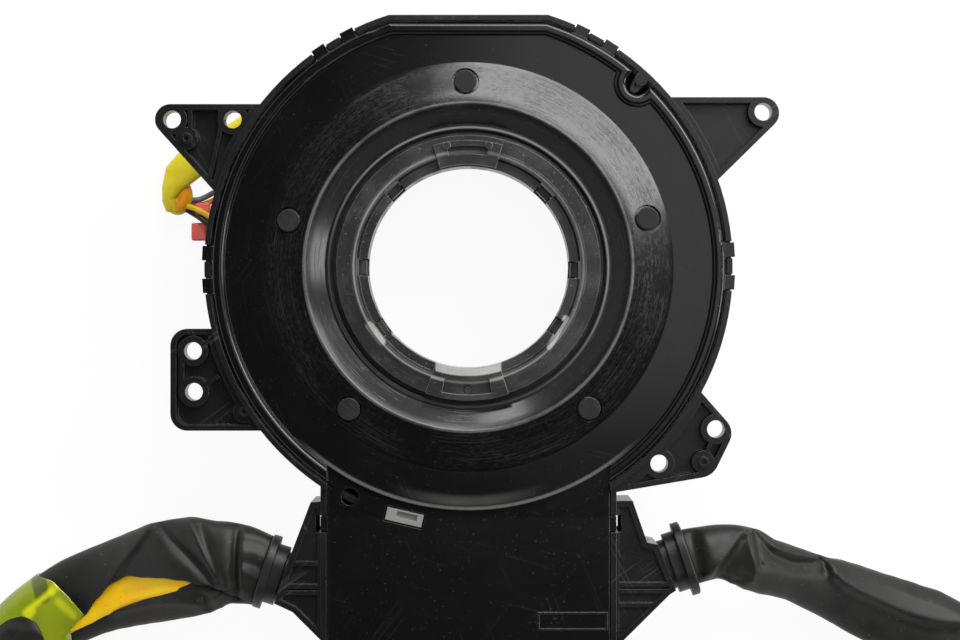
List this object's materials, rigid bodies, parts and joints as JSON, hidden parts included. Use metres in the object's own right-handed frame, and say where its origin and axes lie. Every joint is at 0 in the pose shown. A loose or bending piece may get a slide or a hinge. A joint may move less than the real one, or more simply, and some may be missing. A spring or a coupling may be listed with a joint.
{
  "type": "steering clock spring",
  "caption": "Round spiral cable reel for a steering wheel: a case with screw ears and a side box of wires, and a rotor with a through bore that turns inside it.",
  "frame": {"origin": "on the axis of the bore, in the plane of the ears' rear faces", "axes": "+Z along the bore towards the steering column, +Y up as fitted with the wheel straight, +X to the right as seen from the column"},
  "size_m": [0.2572, 0.2253, 0.0402],
  "materials": {
    "case_plastic": "matte black moulded polyester",
    "cover_plastic": "satin black moulded polyester, fine scratches",
    "rotor_plastic": "dark grey moulded acetal",
    "ring_plastic": "satin dark grey moulded acetal",
    "grommet_plastic": "matte black moulded",
    "light_grey_plastic": "light grey moulded",
    "block_plastic": "natural moulded",
    "ribbon_film": "laminated polyester film over copper",
    "slip_film": "smooth film",
    "sleeve_pvc": "glossy black soft tube",
    "lead_insulation": "thin wire insulation",
    "yellow_tube_pvc": "yellow soft tube",
    "yellow_insulation": "thin wire insulation",
    "black_insulation": "thin wire insulation",
    "grey_insulation": "thin wire insulation",
    "orange_insulation": "thin wire insulation",
    "yellow_plug_plastic": "yellow moulded",
    "black_plug_plastic": "black moulded",
    "salmon_plug_plastic": "salmon red moulded"
  },
  "bodies": {
    "stator": {"stator_case": "case_plastic", "rear_cover": "cover_plastic", "flat_cable": "ribbon_film", "rear_slip_sheet": "slip_film", "joint_clip": "light_grey_plastic", "left_joint_block": "block_plastic", "right_joint_block": "block_plastic", "left_grommet": "grommet_plastic", "right_grommet": "grommet_plastic", "left_sleeve": "sleeve_pvc", "right_sleeve": "sleeve_pvc", "left_leads": "lead_insulation", "right_leads": "lead_insulation", "left_connector": "yellow_plug_plastic", "right_connector": "black_plug_plastic"},
    "rotor": {"rotor": "rotor_plastic", "cancel_ring": "ring_plastic", "front_slip_sheet": "slip_film", "inner_joint_block": "block_plastic", "lead_cap": "rotor_plastic", "airbag_tube": "yellow_tube_pvc", "yellow_wire": "yellow_insulation", "black_wire": "black_insulation", "grey_wire": "grey_insulation", "orange_wire": "orange_insulation", "red_connector": "salmon_plug_plastic", "squib_connector": "yellow_plug_plastic"}
  },
  "joints": [
    {"name": "spin", "type": "hinge", "parent": "stator", "child": "rotor", "pos_m": [0, 0, 0], "axis": [0, 0, 1], "range_deg": [-900, 900]}
  ]
}
